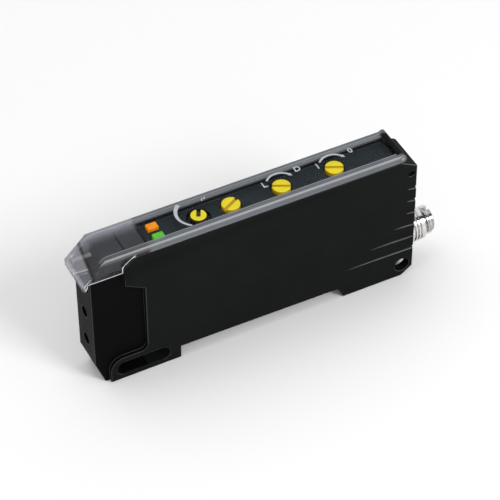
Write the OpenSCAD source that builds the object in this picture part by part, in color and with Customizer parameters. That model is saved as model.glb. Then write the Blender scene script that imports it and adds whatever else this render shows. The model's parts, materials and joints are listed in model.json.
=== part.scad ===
// Fibre optic sensor amplifier: a slim case with a hinged clear cover over its dials.
// X runs from the fibre face to the plug, Y across the case, Z up from the feet.

/* [Case] */
// Length of the case from the fibre face to the plug face
body_l = 94.7; // [90:0.1:110]
// Width of the case
body_w = 12; // [11.6:0.1:14]
// Height of the case's side walls
body_h = 42; // [40:0.1:48]
// Thickness of the case's side walls
wall = 1.5; // [1.2:0.1:1.7]
// Drop from the side walls' top to the deck at the fibre end
deck_drop = 5; // [4.5:0.1:5.5]
// Length of the slope at the rear end of the top
rear_slope_l = 4.7; // [4:0.1:5]
// Drop of that slope
rear_slope_drop = 2.6; // [1:0.1:3]

/* [Fibre end] */
// Depth of the thinner flank on each side
flank_inset = 1.2; // [0.8:0.1:1.3]
// Length of the thinner flanks
flank_l = 14.8; // [14:0.1:18]
// Length of the flanks beside the clear nose
flank_top_l = 9.35; // [8.5:0.05:10]
// Length of the slope under the fibre face
chin_l = 2.7; // [1:0.1:3.5]
// Diameter of the fibre ports in the case
port_d = 3.4; // [2.8:0.1:4]
// Diameter of the fibre guides behind the ports
fibre_d = 2.3; // [2:0.1:2.6]
// Height of the lower fibre port
port_z = 13.3; // [13:0.1:15]
// Distance between the two fibre ports
port_pitch = 9.9; // [8:0.1:11]

/* [Feet] */
// Height of the full width feet
foot_h = 7.6; // [7.4:0.1:9]
// Length of the front foot, from the fibre face
front_foot_l = 24.3; // [23:0.1:30]
// Length of the rear foot, from the plug face
rear_foot_l = 21.4; // [16:0.1:26]
// Height of the rail notch between the feet
notch_h = 4; // [2:0.1:5]
// Length of the slope at the front of the rear foot
rear_foot_slope = 1.6; // [0.4:0.1:3]
// Distance of the front slot from the fibre face
slot_x = 5.7; // [5.2:0.1:6.5]
// Length of the front slot
slot_l = 15.5; // [10:0.1:16]
// Height of the front slot
slot_h = 4.4; // [3:0.1:4.6]
// Height of the front slot above the ground
slot_z = 1.5; // [1:0.1:2]
// Diameter of the rear screw hole
screw_hole_d = 4.5; // [3:0.1:4.6]
// Distance of the rear screw hole from the plug face
screw_hole_back = 3.3; // [3.2:0.1:5]
// Height of the rear screw hole
screw_hole_z = 4.05; // [3.8:0.05:4.2]

/* [Grip grooves] */
// Number of grip grooves at the rear
groove_count = 6; // [1:1:6]
// Height of the lowest groove
groove_z = 9.6; // [9:0.1:11]
// Distance between grooves
groove_pitch = 4.4; // [3:0.1:4.6]
// Depth of a groove
groove_depth = 0.6; // [0.2:0.1:0.8]
// Length of the lowest groove
groove_l = 21.2; // [12:0.1:30]
// Length of the upper, short grooves
groove_short_l = 2.7; // [1:0.1:5]
// How much shorter each of the long grooves is than the one below
groove_step = 7.4; // [3:0.1:10]

/* [Clear cover] */
// Height of the cover above the side walls
cover_h = 2.4; // [2.3:0.1:3]
// Wall thickness of the cover
cover_t = 1.1; // [0.9:0.05:1.2]
// Reach of the nose past the fibre face
nose_reach = 2.2; // [1.8:0.1:3]
// Radius of the cover's long top edges
cover_edge_r = 0.8; // [0.3:0.1:0.9]

/* [Dials] */
// Position of the sensitivity dial from the fibre face
sensitivity_x = 33.2; // [31:0.1:35]
// Position of the range dial
range_x = 42.5; // [41.5:0.1:46]
// Position of the output dial
output_x = 57.2; // [53:0.1:62]
// Position of the delay dial
delay_x = 72.8; // [69:0.1:80]
// Diameter of the dials
dial_d = 5; // [4.5:0.1:5.6]
// Diameter of the smaller sensitivity dial
fine_dial_d = 4.2; // [3.6:0.1:4.8]
// Height of the dials above the panel
dial_rise = 0.95; // [0.3:0.05:0.95]
// Width of the screwdriver slot in the dials
dial_slot_w = 0.9; // [0.5:0.05:1.2]

/* [Lamps] */
// Distance of the lamps from the panel's front end
lamp_inset = 3.3; // [3:0.1:5]
// Distance between the lamps across the panel
lamp_pitch = 4; // [3:0.1:4]
// Length of a lamp lens
lamp_l = 3; // [2:0.1:3.5]
// Width of a lamp lens
lamp_w = 2.2; // [1.5:0.1:2.3]
// Height of the lenses above the panel
lamp_rise = 0.95; // [0.1:0.05:0.95]

/* [Plug] */
// Thread diameter of the plug
plug_d = 8; // [7.6:0.1:8.2]
// Reach of the plug past the case
plug_reach = 8.2; // [7.6:0.1:12]
// Height of the plug's axis
plug_z = 11.6; // [11.4:0.1:13]
// Length of the plug's thread
plug_thread_l = 2.7; // [2:0.1:3]

/* [Hidden] */
$fn = 64;
// How far cuts run past a face, and how far joined shapes run into each other
past = 1;
lap = 0.1;

// Clearances
seat_gap = 0.1;
run_gap = 0.3;
bearing_gap = 0.05;
press_gap = 0.01;
cover_gap = 0.25;

// Overall frame: the origin is at the middle of the whole length, at the ground
half_w = body_w / 2;
mid_x = (body_l + plug_reach - nose_reach) / 2;

// Case
flank_half = half_w - flank_inset;
deck_z = body_h - deck_drop;
flank_shoulder_down = 8.8;
flank_shoulder_z = body_h - flank_shoulder_down;
flank_shoulder_drop = 3;
flank_corner_r = 2;
brow_l = 2.85;
brow_drop = 2.16;
brow_z = body_h - brow_drop;
heel_l = 3.5;
heel_h = 2.6;
cheek_t = 2.7;
foot_end_t = 0.8;
screw_room = 0.3;
recess_size = [1.8, 1.5];
recess_back = 0.8;
recess_drop = 4.3;
recess_depth = 0.7;
recess_r = 0.6;
floor_z = foot_h + wall;
ports = [port_z, port_z + port_pitch];

// Side lid and the cavity that it closes
lid_t = 1.4;
lid_margin = 1.2;
lid_ledge = 0.8;
lid_corner_r = 1.5;
rear_wall = 4.6;
rail_h = 2.9;
cavity_x0 = flank_l + lid_margin + lid_ledge;
cavity_x1 = body_l - rear_wall;
cavity_z1 = body_h - rail_h;
cavity_near = -half_w + wall;
cavity_far = half_w - lid_t;

// Pocket for the fibre guide, open at the deck
bulkhead_t = 3.2;
pocket_x0 = 1.6;
pocket_x1 = cavity_x0 - bulkhead_t;
pocket_half = flank_half - 1.2;
pocket_z0 = floor_z - 0.3;
lock_gate_drop = 4.3;
lock_gate_z = deck_z - lock_gate_drop;

// Opening in the top for the controls
rail_w = 2;
top_half = half_w - rail_w;
panel_ledge = 0.7;
panel_t = 1.4;
panel_x0 = cavity_x0 + 0.8;
panel_z0 = body_h - panel_t;
lamp_x = panel_x0 + lamp_inset;

// Hinge of the clear cover
hinge_x = body_l - rear_slope_l + 0.2;
ear_r = 1.05;
hinge_z = body_h + cover_gap + ear_r;
pin_r = 0.5;
pin_half = half_w - 0.2;
ear_t = cover_t;
knuckle_half = half_w - ear_t - run_gap;
knuckle_z0 = body_h - 2;
opening_x1 = hinge_x - ear_r - run_gap;
panel_x1 = opening_x1 - seat_gap;

// Clear cover, its nose drawn from the roof down to the lip
cover_z1 = body_h + cover_h;
roof_z = cover_z1 - cover_t;
roof_x1 = hinge_x - ear_r - run_gap;
side_lip_z = deck_z + 1;
lip_z = deck_z - 0.7;
lip_h = 1.6;
lip_foot = 1.05;
nose_t = 0.8;
roof_x0 = 4.4;
nose = [[hinge_x, cover_z1], [roof_x0, cover_z1], [-nose_reach, lip_z + lip_h], [-nose_reach, lip_z]];
nose_fall = (nose[1][1] - nose[2][1]) / (nose[1][0] - nose[2][0]);
nose_corner_r = 0.6;
cover_side_half = half_w - cover_t;
roof_corner = meet(nose[1], left_of(nose[0], nose[1]), cover_t, left_of(nose[1], nose[2]), nose_t);
lip_corner = meet(nose[2], left_of(nose[1], nose[2]), nose_t, left_of(nose[2], nose[3]), cover_t);

// Fibre lock
roof_room = 0.4;
lock_travel = 1.2;
lock_grip = 0.15;
grip_r = fibre_d / 2 + run_gap;
grip_drop = lock_travel + fibre_d / 2 - lock_grip - grip_r;
grip_rise = 0.25;
lock_half = top_half - run_gap;
lock_skirt_half = pocket_half - run_gap;
lock_x0 = 0.2;
lock_x1 = pocket_x1 - 2.9;
lock_z0 = deck_z + lock_travel + run_gap;
lock_z1 = roof_z - roof_room;
lock_wing_half = cover_side_half - run_gap;
lock_wing_x1 = flank_top_l - run_gap;
lock_slope_gap = 1.5 * run_gap;
lock_head_x0 = roof_corner[0] - (roof_corner[1] - lock_z1) / nose_fall + lock_slope_gap;
apron_x1 = pocket_x0 - 0.2;
apron_z0 = lock_gate_z + lock_travel + run_gap;
blade_x = 4.1;
blade_t = 2.4;
blade_half = pocket_half - 1.2;
blade_z0 = port_z - grip_rise - grip_r - 0.6;

// Fibre guide and its light source and detector
guide_z1 = deck_z - 1.4;
lock_skirt_z0 = guide_z1 + lock_travel + run_gap;
guide_top_x0 = lock_x1 + run_gap + 0.1;
guide_end_gap = 1;
guide_top_x1 = panel_x0 - guide_end_gap;
guide_top_z = roof_z - roof_room;
guide_stop_x = pocket_x1 - 0.9;
optic_r = 1.5;
optic_flange_r = 1.9;
optic_flange_t = 1;
lead_r = 0.25;
lead_l = 2.7;

// Boards
board_t = 1.6;
main_board_x0 = cavity_x0 + optic_flange_t + 1.5;
boss_l = 6.4;
boss_x0 = body_l - boss_l;
boss_z1 = plug_z + plug_d / 2 + 1.4;
board_end_gap = 3.3;
main_board_x1 = boss_x0 - board_end_gap;
main_board_z0 = floor_z + 0.9;
trimmer_h = 4.8;
trimmer_z1 = panel_z0 - 0.8;
control_z1 = trimmer_z1 - trimmer_h;
control_z0 = control_z1 - board_t;
control_x0 = cavity_x0 + 1;
control_x1 = opening_x1 - 1;
control_half = half_w - wall - run_gap;
rib_t = 1;
rib_l = 4;
rib_inset = 6;
rib_places = [control_x0 + rib_inset, (control_x0 + control_x1) / 2, control_x1 - rib_inset];
post_r = 1.8;
screw_r = 0.75;
screw_l = 2.7;
screw_head_r = 1.7;
screw_head_h = 1.2;
screw_slot = 0.5;
post_inset = 5;
post_rise = 3.5;
post_drop = 4;
posts = [[main_board_x0 + post_inset, main_board_z0 + post_rise],
    [main_board_x1 - post_inset, control_z0 - post_drop]];

// What sits on the boards
led_chip = [1.6, 1.2, 1];
header = [12, 2.5, 2.5];
signal_chip_size = [9, 1.4, 9];
driver_chip_size = [6, 1.6, 5];
driver_chip_rise = 2;
capacitor_r = 2.2;
capacitor_h = 2.8;
capacitor_back = 3;
capacitor_drop = 2;
shield_size = [8, 2.2, 9];
shield_inset = 5.5;
shield_x = main_board_x0 + shield_inset;

// Dials and the parts that they turn
dial_z0 = trimmer_z1 + run_gap;
dial_z1 = body_h + dial_rise;
dial_slot_h = 0.6;
fine_slot_w = 1.1;
fine_slot_h = 0.8;
fine_slot_turn = 63;
range_slot_turn = 28;
switch_slot_turn = -27;
stem_r = 1.2;
stem_l = 2.7;
trimmer_w = 2 * (top_half - panel_ledge - 2 * seat_gap);
well_r = top_half - panel_ledge - seat_gap;
well_z1 = panel_z0 + 0.6;

// Plug
plug_r = plug_d / 2;
collar_r = plug_r + 0.75;
plug_x1 = body_l + plug_reach;
thread_x0 = plug_x1 - plug_thread_l;
relief_l = 0.5;
relief_r = plug_r - 0.6;
seal_t = 0.5;
shank_r = plug_r - 0.5;
shank_x0 = boss_x0 - 2.5;
insert_r = plug_r - 1.05;
insert_x1 = body_l + 2.7;
socket_r = plug_r - 0.95;
contact_r = 0.45;
contact_offset = board_t / 2 + contact_r;
contact_x0 = main_board_x1 - 2.5;
contact_x1 = plug_x1 - 1.2;
nut_r = min(plug_r + 0.4, cavity_far - seat_gap);
nut_t = 1.9;
nut_slot_w = 1.2;

// Shape helpers

// Moves a piece from the fibre face's X to the overall frame
module placed() {
    translate([-mid_x, 0, 0]) children();
}

// A flat outline drawn in X and Z, made solid from y0 to y1
module across(y0, y1) {
    translate([0, y1, 0]) rotate([90, 0, 0]) linear_extrude(y1 - y0) children();
}

module box(low, high) {
    translate(low) cube(high - low);
}

module rod_x(x0, x1, r, y, z) {
    translate([x0, y, z]) rotate([0, 90, 0]) cylinder(h = x1 - x0, r = r);
}

module rod_y(y0, y1, r, x, z) {
    translate([x, y1, z]) rotate([90, 0, 0]) cylinder(h = y1 - y0, r = r);
}

module rod_z(z0, z1, r, x, y) {
    translate([x, y, z0]) cylinder(h = z1 - z0, r = r);
}

module round_rect(low, high, r) {
    translate([low[0] + r, low[1]]) square([high[0] - low[0] - 2 * r, high[1] - low[1]]);
    translate([low[0], low[1] + r]) square([high[0] - low[0], high[1] - low[1] - 2 * r]);
    for (x = [low[0] + r, high[0] - r])
        for (z = [low[1] + r, high[1] - r])
            translate([x, z]) circle(r);
}

// Both sides of the case, left and right
module both_sides() {
    children();
    mirror([0, 1, 0]) children();
}

// Direction to the left of a line from p to q
function left_of(p, q) = let(d = (q - p) / norm(q - p)) [-d[1], d[0]];

// Inner corner of two walls that meet at p, from their inward directions and thicknesses
function meet(p, n, s, m, t) =
    let(a = p * n + s)
    let(b = p * m + t)
    [a * m[1] - b * n[1], n[0] * b - m[0] * a] / (n[0] * m[1] - n[1] * m[0]);

// Case

module case_outline() {
    polygon([[chin_l, 0], [front_foot_l, 0], [front_foot_l, notch_h],
        [body_l - rear_foot_l - rear_foot_slope, notch_h], [body_l - rear_foot_l, 0],
        [body_l - heel_l, 0], [body_l, heel_h], [body_l, body_h - rear_slope_drop],
        [body_l - rear_slope_l, body_h], [flank_top_l + brow_l, body_h],
        [flank_top_l, brow_z], [flank_top_l, deck_z], [0, deck_z], [0, foot_h]]);
}

// Foot's full width end, round the front slot
module foot_outline() {
    pad_r = slot_h / 2 + 1.7;
    pad_z = foot_h - pad_r;
    translate([slot_x + slot_h / 2, pad_z]) circle(pad_r);
    translate([slot_x + slot_h / 2 - pad_r, -past]) square([2 * pad_r, pad_z + past]);
    translate([slot_x + slot_h / 2, -past]) square([flank_l, foot_h + past]);
}

module flank_outline() {
    difference() {
        polygon([[-past, -past], [-past, body_h], [flank_top_l, body_h], [flank_top_l, flank_shoulder_z],
            [flank_l, flank_shoulder_z - flank_shoulder_drop], [flank_l, -past]]);
        foot_outline();
        translate([flank_l - flank_corner_r, foot_h]) difference() {
            square(flank_corner_r + past);
            translate([0, flank_corner_r]) circle(flank_corner_r);
            translate([-past, flank_corner_r]) square(flank_corner_r + 3 * past);
        }
    }
}

module slot_outline() {
    r = slot_h / 2;
    translate([slot_x + r, slot_z]) square([slot_l - slot_h, slot_h]);
    for (x = [slot_x + r, slot_x + slot_l - r])
        translate([x, slot_z + r]) circle(r);
}

// Grip grooves, cut with a square bar set on its edge, which runs out to nothing at the front
module grooves() {
    reach = groove_depth + past;
    bar = reach * sqrt(2);
    for (i = [0 : groove_count - 1]) {
        l = max(groove_short_l, groove_l - i * groove_step);
        translate([body_l - l, half_w + reach, groove_z + i * groove_pitch])
            rotate([0, 0, -atan(groove_depth / l)]) rotate([45, 0, 0])
                translate([-past, -bar / 2, -bar / 2]) cube([l + 3 * past, bar, bar]);
    }
}

// Pocket in the rear foot, open below, between the two cheeks that the screw passes
module foot_pocket() {
    box([body_l - screw_hole_back - screw_hole_d / 2 - screw_room, -half_w + cheek_t, -past],
        [body_l - foot_end_t, half_w - cheek_t, screw_hole_z + screw_hole_d / 2 + screw_room]);
}

// Outside of the case, before it is hollowed
module case_blank() {
    difference() {
        across(-half_w, half_w) case_outline();
        both_sides() across(flank_half, half_w + past) flank_outline();
        across(-half_w - past, half_w + past) slot_outline();
        rod_y(-half_w - past, half_w + past, screw_hole_d / 2, body_l - screw_hole_back, screw_hole_z);
        foot_pocket();
        both_sides() grooves();
        both_sides() across(half_w - recess_depth, half_w + past)
            translate([body_l - recess_back, body_h - recess_drop])
                round_rect(-recess_size, [0, 0], recess_r);
    }
}

module lid_outline(gap) {
    round_rect([cavity_x0 - lid_ledge + gap, floor_z - lid_ledge + gap],
        [cavity_x1 + lid_ledge - gap, cavity_z1 + lid_ledge - gap], lid_corner_r);
}

module cavity() {
    difference() {
        box([cavity_x0, cavity_near, floor_z], [cavity_x1, half_w, cavity_z1]);
        box([boss_x0, -half_w, 0], [body_l, half_w, boss_z1]);
        for (p = posts)
            rod_y(cavity_near - past, -board_t / 2, post_r, p[0], p[1]);
        for (x = rib_places)
            translate([x - rib_l / 2, cavity_near - past, control_z0 - rib_t])
                cube([rib_l, 2 * past, rib_t]);
    }
    rod_x(shank_x0 - run_gap, boss_x0, nut_r + run_gap, 0, plug_z);
}

module top_opening() {
    box([flank_top_l - past, -top_half, deck_z], [panel_x0, top_half, body_h + past]);
    box([panel_x0 - past, -top_half, panel_z0], [opening_x1, top_half, body_h + past]);
    box([panel_x0 + panel_ledge, -top_half + panel_ledge, cavity_z1 - past],
        [opening_x1 - panel_ledge, top_half - panel_ledge, body_h]);
}

module housing() {
    color([0.12, 0.13, 0.13]) placed() difference() {
        union() {
            case_blank();
            box([hinge_x - ear_r, -knuckle_half, knuckle_z0], [hinge_x + ear_r, knuckle_half, hinge_z]);
            rod_y(-knuckle_half, knuckle_half, ear_r, hinge_x, hinge_z);
        }
        rod_y(-half_w, half_w, pin_r + press_gap, hinge_x, hinge_z);
        across(cavity_far, half_w + past) lid_outline(0);
        cavity();
        box([pocket_x0, -pocket_half, pocket_z0], [pocket_x1, pocket_half, deck_z + past]);
        box([-past, -pocket_half, lock_gate_z], [pocket_x0 + past, pocket_half, deck_z + past]);
        top_opening();
        for (z = ports) {
            rod_x(-past, pocket_x0 + past, port_d / 2, 0, z);
            rod_x(pocket_x1 - past, cavity_x0 + past, optic_r + seat_gap, 0, z);
        }
        rod_x(boss_x0 - past, body_l + past, shank_r + bearing_gap, 0, plug_z);
        for (p = posts)
            rod_y(-board_t / 2 - screw_l - run_gap, 0, screw_r + bearing_gap, p[0], p[1]);
    }
}

module side_cover() {
    color([0.13, 0.14, 0.14]) placed() intersection() {
        across(cavity_far, half_w + past) lid_outline(seat_gap);
        case_blank();
    }
}

// Clear cover

module cover_side_outline() {
    polygon(concat(nose,
        [[lip_foot - nose_reach, lip_z], [1.5 * lip_foot - nose_reach, side_lip_z],
        [flank_top_l - cover_gap, side_lip_z], [flank_top_l - cover_gap, brow_z + cover_gap],
        [flank_top_l + brow_l - cover_gap, body_h + cover_gap], [hinge_x, body_h + cover_gap]]));
}

module cover_blank() {
    intersection() {
        across(-half_w, half_w) cover_side_outline();
        translate([-nose_reach - past, 0, 0]) rotate([90, 0, 90]) linear_extrude(body_l + nose_reach) {
            round_rect([-half_w, body_h], [half_w, cover_z1], cover_edge_r);
            translate([-half_w, 0]) square([body_w, cover_z1 - cover_edge_r]);
        }
        linear_extrude(cover_z1 + past) round_rect([-nose_reach, -half_w], [body_l, half_w], nose_corner_r);
    }
}

module clear_cover() {
    color([0.75, 0.78, 0.8, 0.35]) placed() difference() {
        union() {
            cover_blank();
            both_sides() rod_y(half_w - ear_t, half_w, ear_r, hinge_x, hinge_z);
        }
        across(-cover_side_half, cover_side_half)
            polygon([[body_l, roof_z], roof_corner, lip_corner, [lip_corner[0], 0], [body_l, 0]]);
        box([roof_x1, -cover_side_half, roof_z - past], [body_l, cover_side_half, cover_z1 + past]);
        rod_y(-half_w - past, half_w + past, pin_r + bearing_gap, hinge_x, hinge_z);
    }
}

module hinge_pin() {
    color("silver") placed() rod_y(-pin_half, pin_half, pin_r, hinge_x, hinge_z);
}

// Controls

module lamp(side, gap) {
    translate([lamp_x - lamp_l / 2 - gap, side * lamp_pitch / 2 - lamp_w / 2 - gap, 0])
        cube([lamp_l + 2 * gap, lamp_w + 2 * gap, body_h + lamp_rise]);
}

module control_panel() {
    color([0.12, 0.15, 0.17]) placed() difference() {
        box([panel_x0, -top_half + seat_gap, panel_z0], [panel_x1, top_half - seat_gap, body_h]);
        for (x = [range_x, output_x, delay_x])
            rod_z(panel_z0 - past, body_h + past, dial_d / 2 + run_gap, x, 0);
        rod_z(panel_z0 - past, body_h + past, well_r + seat_gap, sensitivity_x, 0);
        for (side = [-1, 1])
            lamp(side, seat_gap);
    }
}

// A dial: a head on a stem that turns in its trimmer, with a slot from the side at reach to its other side
module dial(x, z0, d, turn, reach, slot_w, slot_h) {
    color([0.95, 0.86, 0.1]) placed() difference() {
        union() {
            rod_z(z0, dial_z1, d / 2, x, 0);
            rod_z(dial_z0 - run_gap - stem_l, z0 + lap, stem_r, x, 0);
        }
        translate([x, 0, dial_z1 - slot_h]) rotate([0, 0, turn]) translate([-reach, -slot_w / 2, 0])
            cube([reach + d, slot_w, past]);
    }
}

module sensitivity_dial() {
    dial(sensitivity_x, well_z1 + run_gap, fine_dial_d, fine_slot_turn, fine_slot_w / 2,
        fine_slot_w, fine_slot_h);
}

module range_dial() {
    dial(range_x, dial_z0, dial_d, range_slot_turn, dial_d, dial_slot_w, dial_slot_h);
}

module output_dial() {
    dial(output_x, dial_z0, dial_d, switch_slot_turn, dial_d, dial_slot_w, dial_slot_h);
}

module delay_dial() {
    dial(delay_x, dial_z0, dial_d, switch_slot_turn, dial_d, dial_slot_w, dial_slot_h);
}

module trimmer(x, well) {
    color([0.1, 0.1, 0.11]) placed() difference() {
        union() {
            translate([x - trimmer_w / 2, -trimmer_w / 2, control_z1])
                cube([trimmer_w, trimmer_w, trimmer_h]);
            if (well)
                rod_z(control_z1, well_z1, well_r, x, 0);
        }
        rod_z(trimmer_z1 - stem_l - run_gap, body_h, stem_r + bearing_gap, x, 0);
    }
}

module sensitivity_trimmer() {
    trimmer(sensitivity_x, true);
}

module range_trimmer() {
    trimmer(range_x, false);
}

module output_switch() {
    trimmer(output_x, false);
}

module delay_switch() {
    trimmer(delay_x, false);
}

// A lens: a light pipe down to its lamp, with a flange that bears on the panel from below
module lens(side) {
    flange = 0.5;
    flange_t = 1;
    placed() {
        intersection() {
            lamp(side, 0);
            box([0, -half_w, control_z1 + led_chip[2] + run_gap], [body_l, half_w, body_h + past]);
        }
        for (reach = [-flange, flange])
            intersection() {
                translate([reach, 0, 0]) lamp(side, 0);
                box([0, -half_w, panel_z0 - flange_t], [body_l, half_w, panel_z0]);
            }
    }
}

module output_lens() {
    color([1, 0.55, 0.05]) lens(1);
}

module power_lens() {
    color([0.2, 0.78, 0.25]) lens(-1);
}

// Boards

module control_board() {
    color([0.05, 0.3, 0.16]) placed()
        box([control_x0, -control_half, control_z0], [control_x1, control_half, control_z1]);
}

module led_chips() {
    color("white") placed() for (side = [-1, 1])
        translate([lamp_x - led_chip[0] / 2, side * lamp_pitch / 2 - led_chip[1] / 2, control_z1])
            cube(led_chip);
}

module main_board() {
    color([0.05, 0.33, 0.18]) placed() difference() {
        box([main_board_x0, -board_t / 2, main_board_z0], [main_board_x1, board_t / 2, control_z0]);
        for (p = posts)
            rod_y(-past, past, screw_r + run_gap, p[0], p[1]);
    }
}

module board_header() {
    color([0.08, 0.08, 0.08]) placed()
        translate([output_x, board_t / 2, control_z0 - header[2]]) cube(header);
}

module board_screws() {
    color("silver") placed() for (p = posts) {
        rod_y(-board_t / 2 - screw_l, board_t / 2, screw_r, p[0], p[1]);
        difference() {
            rod_y(board_t / 2, board_t / 2 + screw_head_h, screw_head_r, p[0], p[1]);
            translate([p[0] - screw_head_r, board_t / 2 + screw_head_h - screw_slot, p[1] - screw_slot / 2])
                cube([2 * screw_head_r, past, screw_slot]);
        }
    }
}

// A flat part soldered to the main board's lid side
module on_board(x, z, size) {
    placed() translate([x - size[0] / 2, board_t / 2, z - size[2] / 2]) cube(size);
}

module signal_chip() {
    color([0.07, 0.07, 0.08]) on_board(range_x, ports[1], signal_chip_size);
}

module driver_chip() {
    color([0.07, 0.07, 0.08]) on_board(output_x, port_z + driver_chip_rise, driver_chip_size);
}

module capacitor() {
    color([0.7, 0.72, 0.74]) placed()
        rod_y(board_t / 2, board_t / 2 + capacitor_h, capacitor_r, delay_x - capacitor_back,
            ports[1] - capacitor_drop);
}

module shield_can() {
    color([0.72, 0.73, 0.74]) on_board(shield_x, ports[1], shield_size);
}

// Fibre end

module optic_block() {
    color([0.3, 0.31, 0.32]) placed() difference() {
        union() {
            box([pocket_x0 + seat_gap, -pocket_half + seat_gap, pocket_z0],
                [pocket_x1 - seat_gap, pocket_half - seat_gap, guide_z1]);
            box([guide_top_x0, -pocket_half + seat_gap, pocket_z0],
                [pocket_x1 - seat_gap, pocket_half - seat_gap, deck_z]);
            box([guide_top_x0, -lock_half, deck_z], [guide_top_x1, lock_half, guide_top_z]);
            box([guide_top_x0, -lock_wing_half, body_h + seat_gap],
                [guide_top_x1, lock_wing_half, guide_top_z]);
        }
        box([blade_x - run_gap, -blade_half - run_gap, blade_z0 - lock_travel - run_gap],
            [blade_x + blade_t + run_gap, blade_half + run_gap, deck_z]);
        for (z = ports) {
            rod_x(0, guide_stop_x + past, fibre_d / 2, 0, z);
            rod_x(guide_stop_x, pocket_x1, optic_r + seat_gap, 0, z);
        }
    }
}

module fibre_lock() {
    color([0.31, 0.32, 0.33]) placed() difference() {
        union() {
            box([lock_head_x0, -lock_half, lock_z0], [lock_x1, lock_half, lock_z1]);
            box([lock_head_x0, -lock_wing_half, lock_z0], [lock_wing_x1, lock_wing_half, lock_z1]);
            box([lock_x0, -lock_skirt_half, lock_skirt_z0], [lock_x1, lock_skirt_half, lock_z0]);
            box([lock_x0, -lock_skirt_half, apron_z0], [apron_x1, lock_skirt_half, lock_z0]);
            box([blade_x, -blade_half, blade_z0], [blade_x + blade_t, blade_half, lock_z0]);
        }
        for (z = ports) {
            rod_x(0, flank_l, grip_r, 0, z - grip_rise);
            rod_x(0, flank_l, grip_r, 0, z + grip_drop);
            box([0, -grip_r, z - grip_rise], [flank_l, grip_r, z + grip_drop]);
        }
    }
}

// A light source or detector: a barrel in the bulkhead, with leads to the main board
module optic_part(z) {
    placed() {
        rod_x(guide_stop_x + run_gap, cavity_x0 + lap, optic_r, 0, z);
        rod_x(cavity_x0, cavity_x0 + optic_flange_t, optic_flange_r, 0, z);
        for (side = [-1, 1])
            rod_x(cavity_x0 + optic_flange_t - lap, cavity_x0 + optic_flange_t + lead_l, lead_r,
                side * (board_t / 2 + lead_r), z);
    }
}

module emitter() {
    color([0.75, 0.12, 0.1]) optic_part(ports[1]);
}

module receiver() {
    color([0.15, 0.12, 0.2]) optic_part(ports[0]);
}

// Plug

module connector_shell() {
    color([0.78, 0.78, 0.76]) placed() difference() {
        union() {
            rod_x(shank_x0, body_l + seal_t + lap, shank_r, 0, plug_z);
            rod_x(body_l + seal_t, thread_x0 - relief_l, collar_r, 0, plug_z);
            rod_x(body_l + seal_t, plug_x1, relief_r, 0, plug_z);
            rod_x(thread_x0, plug_x1, plug_r, 0, plug_z);
        }
        rod_x(shank_x0 - past, insert_x1 + lap, insert_r + bearing_gap, 0, plug_z);
        rod_x(insert_x1, plug_x1 + past, socket_r, 0, plug_z);
    }
}

module contacts(gap) {
    for (y = [-1, 1])
        for (z = [-1, 1])
            rod_x(contact_x0, contact_x1, contact_r + gap, y * contact_offset, plug_z + z * contact_offset);
}

module connector_insert() {
    color([0.1, 0.1, 0.1]) placed() difference() {
        rod_x(shank_x0, insert_x1, insert_r, 0, plug_z);
        contacts(bearing_gap);
    }
}

module contact_pins() {
    color([0.85, 0.68, 0.3]) placed() contacts(0);
}

module connector_nut() {
    color([0.7, 0.7, 0.68]) placed() difference() {
        rod_x(boss_x0 - nut_t, boss_x0, nut_r, 0, plug_z);
        rod_x(shank_x0 - past, body_l, shank_r + bearing_gap, 0, plug_z);
        translate([boss_x0 - nut_t - past, -nut_slot_w / 2, plug_z - 2 * nut_r])
            cube([past + nut_t / 2, nut_slot_w, 4 * nut_r]);
    }
}

module connector_seal() {
    color([0.06, 0.06, 0.06]) placed() difference() {
        rod_x(body_l, body_l + seal_t, collar_r, 0, plug_z);
        rod_x(body_l - past, body_l + past, shank_r + bearing_gap, 0, plug_z);
    }
}

housing();
side_cover();
control_panel();
clear_cover();
hinge_pin();
sensitivity_dial();
range_dial();
output_dial();
delay_dial();
sensitivity_trimmer();
range_trimmer();
output_switch();
delay_switch();
control_board();
led_chips();
output_lens();
power_lens();
main_board();
board_header();
board_screws();
signal_chip();
driver_chip();
capacitor();
shield_can();
optic_block();
fibre_lock();
emitter();
receiver();
connector_shell();
connector_insert();
contact_pins();
connector_nut();
connector_seal();
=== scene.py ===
import json
import math

import bmesh
import bpy
from mathutils import Matrix, Vector

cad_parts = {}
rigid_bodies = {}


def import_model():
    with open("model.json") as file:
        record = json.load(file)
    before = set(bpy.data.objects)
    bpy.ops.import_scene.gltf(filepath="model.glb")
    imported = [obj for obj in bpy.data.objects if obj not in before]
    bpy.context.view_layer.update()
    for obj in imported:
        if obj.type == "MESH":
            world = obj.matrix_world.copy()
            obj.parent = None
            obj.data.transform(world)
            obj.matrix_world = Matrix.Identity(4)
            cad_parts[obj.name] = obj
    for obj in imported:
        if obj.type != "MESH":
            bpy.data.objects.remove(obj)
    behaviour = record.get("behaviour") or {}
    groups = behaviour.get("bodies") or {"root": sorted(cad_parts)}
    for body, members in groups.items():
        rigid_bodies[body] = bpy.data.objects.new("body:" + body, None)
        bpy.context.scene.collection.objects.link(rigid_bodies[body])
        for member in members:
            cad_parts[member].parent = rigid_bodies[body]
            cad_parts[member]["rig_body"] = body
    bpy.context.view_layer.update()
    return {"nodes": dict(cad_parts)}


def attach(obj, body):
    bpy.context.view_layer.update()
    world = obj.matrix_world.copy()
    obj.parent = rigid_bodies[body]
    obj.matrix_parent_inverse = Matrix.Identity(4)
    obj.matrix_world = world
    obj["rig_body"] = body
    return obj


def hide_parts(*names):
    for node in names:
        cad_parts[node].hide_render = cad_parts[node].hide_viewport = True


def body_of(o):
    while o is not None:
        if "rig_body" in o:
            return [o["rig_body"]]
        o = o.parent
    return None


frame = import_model()
nodes = frame["nodes"]
mm = 0.001
scene = bpy.context.scene
scene.view_settings.view_transform = "Standard"
print("frame loaded:", len(nodes), "nodes")

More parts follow.
